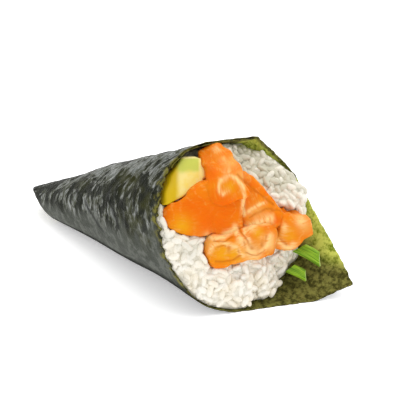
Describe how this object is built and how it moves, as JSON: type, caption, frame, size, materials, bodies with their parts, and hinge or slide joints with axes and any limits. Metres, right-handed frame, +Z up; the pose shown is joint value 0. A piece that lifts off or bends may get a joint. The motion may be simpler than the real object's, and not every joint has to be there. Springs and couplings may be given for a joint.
{
  "type": "salmon temaki hand roll",
  "caption": "Cone of nori rolled round sushi rice, lying on its side, with salmon strips, avocado and spring onion in its open mouth.",
  "frame": {"origin": "middle of the flat strip along the cone's underside that it rests on", "axes": "+X along the cone, from its tip to its open mouth; +Z up from the surface it lies on; -Y is the side whose rim is shorter"},
  "size_m": [0.1366, 0.0607, 0.052],
  "materials": {
    "nori": "satin",
    "rice": "satin",
    "salmon": "satin",
    "avocado": "satin",
    "spring_onion": "satin"
  },
  "bodies": {
    "root": {"nori": "nori", "rice": "rice", "salmon_block": "salmon", "salmon_broad": "salmon", "salmon_top": "salmon", "salmon_middle": "salmon", "salmon_low": "salmon", "avocado": "avocado", "spring_onion_long": "spring_onion", "spring_onion_short": "spring_onion"}
  },
  "joints": []
}
